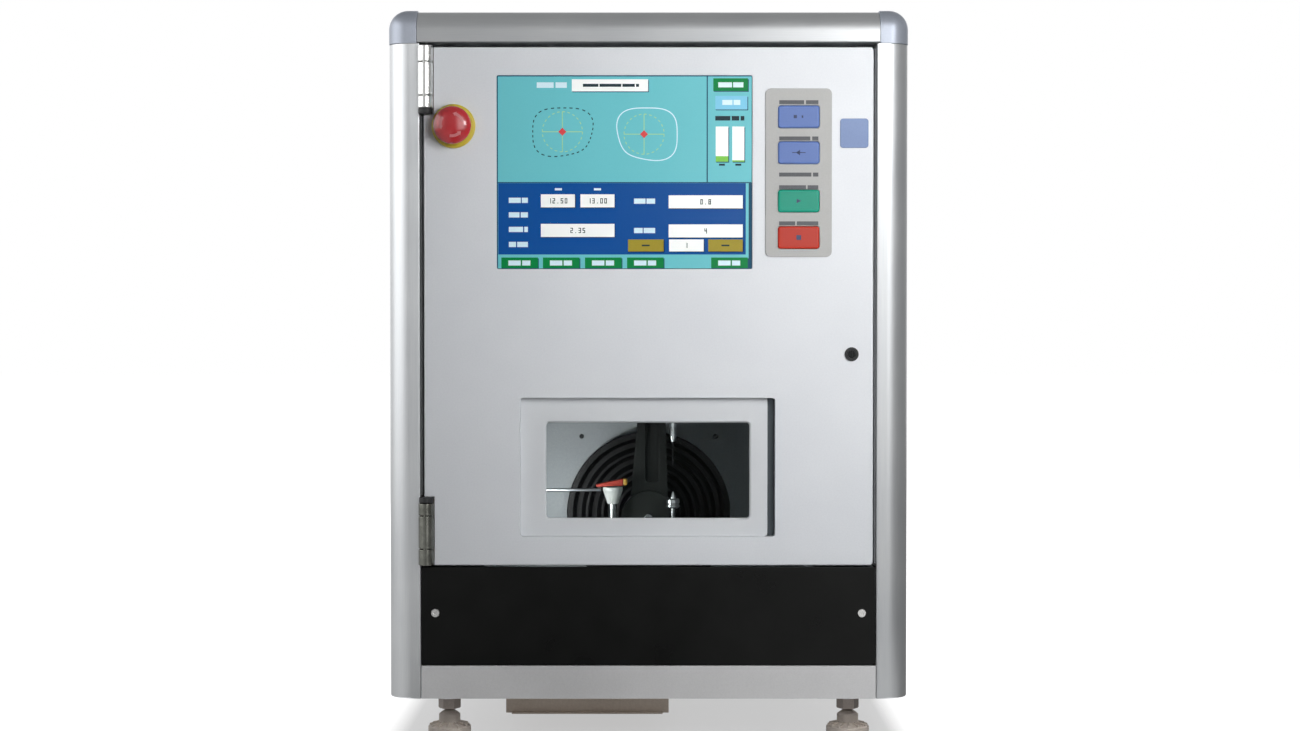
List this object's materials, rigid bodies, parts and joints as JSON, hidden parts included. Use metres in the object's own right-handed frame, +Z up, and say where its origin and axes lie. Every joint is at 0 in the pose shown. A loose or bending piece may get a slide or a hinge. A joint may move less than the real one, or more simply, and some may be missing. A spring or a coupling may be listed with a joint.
{
  "type": "lens drilling machine",
  "caption": "Benchtop lens drilling machine: framed cabinet with hinged door, touch display, keypad, stop button and window onto a tilting drill yoke",
  "frame": {"origin": "middle of the machine's outline at the floor, under the levelling feet", "axes": "+X to the machine's right seen from the front, +Y from the door to the back, +Z up"},
  "size_m": [0.5, 0.544, 0.707],
  "materials": {
    "clear_profile": "satin anodised",
    "cast_corner": "cast, fine powder coat",
    "cabinet_paint": "light grey, satin",
    "door_paint": "light grey, satin",
    "tray_paint": "grey, satin",
    "black_gloss": "black, glossy",
    "foot_plastic": "grey brown, ribbed",
    "pan_steel": "dark, satin",
    "hinge_chrome": "bright plated",
    "bezel_plastic": "light grey, fine texture",
    "clear_pane": "clear",
    "screen_glass": "lit display",
    "keypad_film": "grey film",
    "key_blue": "satin",
    "key_green": "satin",
    "key_red": "satin",
    "plate_blue": "bare plate",
    "stop_yellow": "satin",
    "stop_red": "moulded, glossy",
    "black_plastic": "moulded",
    "machined_steel": "turned",
    "chamber_paint": "grey, matt",
    "dark_cast": "dark, matt",
    "motor_black": "dark grey",
    "cup_white": "white",
    "tip_orange": "soft",
    "rim_black": "ringed"
  },
  "bodies": {
    "cabinet": {"post_front_left": "clear_profile", "post_front_right": "clear_profile", "post_rear_left": "clear_profile", "post_rear_right": "clear_profile", "rail_top_front": "clear_profile", "rail_top_rear": "clear_profile", "rail_top_left": "clear_profile", "rail_top_right": "clear_profile", "corner_front_left": "cast_corner", "corner_front_right": "cast_corner", "corner_rear_left": "cast_corner", "corner_rear_right": "cast_corner", "panel_left": "cabinet_paint", "panel_right": "cabinet_paint", "panel_top": "cabinet_paint", "panel_rear": "cabinet_paint", "base_tray": "tray_paint", "panel_kick": "black_gloss", "hinge_upper_fixed": "hinge_chrome", "hinge_lower_fixed": "hinge_chrome", "chamber": "chamber_paint", "inner_cover": "cabinet_paint", "tilt_drive": "motor_black", "carriage_drive": "motor_black", "power_supply": "machined_steel", "mains_inlet": "black_plastic"},
    "door": {"door_pan": "door_paint", "hinge_upper_moving": "hinge_chrome", "hinge_lower_moving": "hinge_chrome", "window_frame": "bezel_plastic", "window_pane": "clear_pane", "display_module": "screen_glass", "keypad_plate": "keypad_film", "badge_plate": "plate_blue", "estop_ring": "stop_yellow", "estop_body": "black_plastic", "latch_barrel": "black_plastic"},
    "stop_plunger": {"estop_stem": "machined_steel"},
    "stop_head": {"estop_head": "stop_red"},
    "latch": {"latch_cam": "black_plastic"},
    "tilt_yoke": {"yoke": "dark_cast", "ringed_disc": "rim_black", "lower_spindle": "machined_steel"},
    "quill": {"upper_quill": "machined_steel"},
    "drill": {"upper_drill": "machined_steel"},
    "countersink": {"lower_countersink": "machined_steel"},
    "carriage": {"lens_carriage": "machined_steel"},
    "lens_holder": {"lens_post": "machined_steel", "lens_cup": "cup_white"},
    "clamp": {"clamp_arm": "machined_steel", "clamp_tip": "tip_orange"},
    "swarf_pan": {"swarf_pan": "pan_steel"},
    "key_1": {"key_1": "key_blue"},
    "key_2": {"key_2": "key_blue"},
    "key_3": {"key_3": "key_green"},
    "key_4": {"key_4": "key_red"},
    "foot_front_left": {"foot_front_left": "foot_plastic"},
    "foot_front_right": {"foot_front_right": "foot_plastic"},
    "foot_rear_left": {"foot_rear_left": "foot_plastic"},
    "foot_rear_right": {"foot_rear_right": "foot_plastic"}
  },
  "joints": [
    {"name": "door_swing", "type": "hinge", "parent": "cabinet", "child": "door", "pos_m": [-0.2133, -0.251, 0.422], "axis": [0, 0, -1], "range_deg": [0, 105]},
    {"name": "stop_press", "type": "slide", "parent": "door", "child": "stop_plunger", "axis": [0, 1, 0], "range_m": [0, 0.004]},
    {"name": "stop_twist_release", "type": "hinge", "parent": "stop_plunger", "child": "stop_head", "pos_m": [-0.1866, -0.248, 0.5946], "axis": [0, 1, 0], "range_deg": [0, 45], "stiffness_Nm_per_rad": 0.3},
    {"name": "latch_turn", "type": "hinge", "parent": "door", "child": "latch", "pos_m": [0.1947, -0.248, 0.3765], "axis": [0, 1, 0], "range_deg": [-90, 0]},
    {"name": "yoke_tilt", "type": "hinge", "parent": "cabinet", "child": "tilt_yoke", "pos_m": [0, -0.138, 0.208], "axis": [0, 1, 0], "range_deg": [-30, 30]},
    {"name": "quill_feed", "type": "slide", "parent": "tilt_yoke", "child": "quill", "axis": [0, 0, -1], "range_m": [0, 0.0225]},
    {"name": "drill_spin", "type": "hinge", "parent": "quill", "child": "drill", "pos_m": [0.0246, -0.138, 0.2866], "axis": [0, 0, 1], "continuous": true},
    {"name": "countersink_spin", "type": "hinge", "parent": "tilt_yoke", "child": "countersink", "pos_m": [0.0246, -0.138, 0.2196], "axis": [0, 0, 1], "continuous": true},
    {"name": "carriage_slide", "type": "slide", "parent": "cabinet", "child": "carriage", "axis": [1, 0, 0], "range_m": [-0.014, 0.022]},
    {"name": "lens_turn", "type": "hinge", "parent": "carriage", "child": "lens_holder", "pos_m": [-0.036, -0.138, 0.2242], "axis": [0, 0, 1], "continuous": true},
    {"name": "clamp_lift", "type": "hinge", "parent": "carriage", "child": "clamp", "pos_m": [-0.128, -0.138, 0.24], "axis": [0, -1, 0], "range_deg": [0, 60]},
    {"name": "pan_slide", "type": "slide", "parent": "cabinet", "child": "swarf_pan", "axis": [0, -1, 0], "range_m": [0, 0.17]},
    {"name": "key_1_press", "type": "slide", "parent": "door", "child": "key_1", "axis": [0, 1, 0], "range_m": [0, 0.0006], "stiffness_N_per_m": 1200},
    {"name": "key_2_press", "type": "slide", "parent": "door", "child": "key_2", "axis": [0, 1, 0], "range_m": [0, 0.0006], "stiffness_N_per_m": 1200},
    {"name": "key_3_press", "type": "slide", "parent": "door", "child": "key_3", "axis": [0, 1, 0], "range_m": [0, 0.0006], "stiffness_N_per_m": 1200},
    {"name": "key_4_press", "type": "slide", "parent": "door", "child": "key_4", "axis": [0, 1, 0], "range_m": [0, 0.0006], "stiffness_N_per_m": 1200},
    {"name": "foot_front_left_level", "type": "slide", "parent": "cabinet", "child": "foot_front_left", "axis": [0, 0, -1], "range_m": [0, 0.012]},
    {"name": "foot_front_right_level", "type": "slide", "parent": "cabinet", "child": "foot_front_right", "axis": [0, 0, -1], "range_m": [0, 0.012]},
    {"name": "foot_rear_left_level", "type": "slide", "parent": "cabinet", "child": "foot_rear_left", "axis": [0, 0, -1], "range_m": [0, 0.012]},
    {"name": "foot_rear_right_level", "type": "slide", "parent": "cabinet", "child": "foot_rear_right", "axis": [0, 0, -1], "range_m": [0, 0.012]}
  ]
}
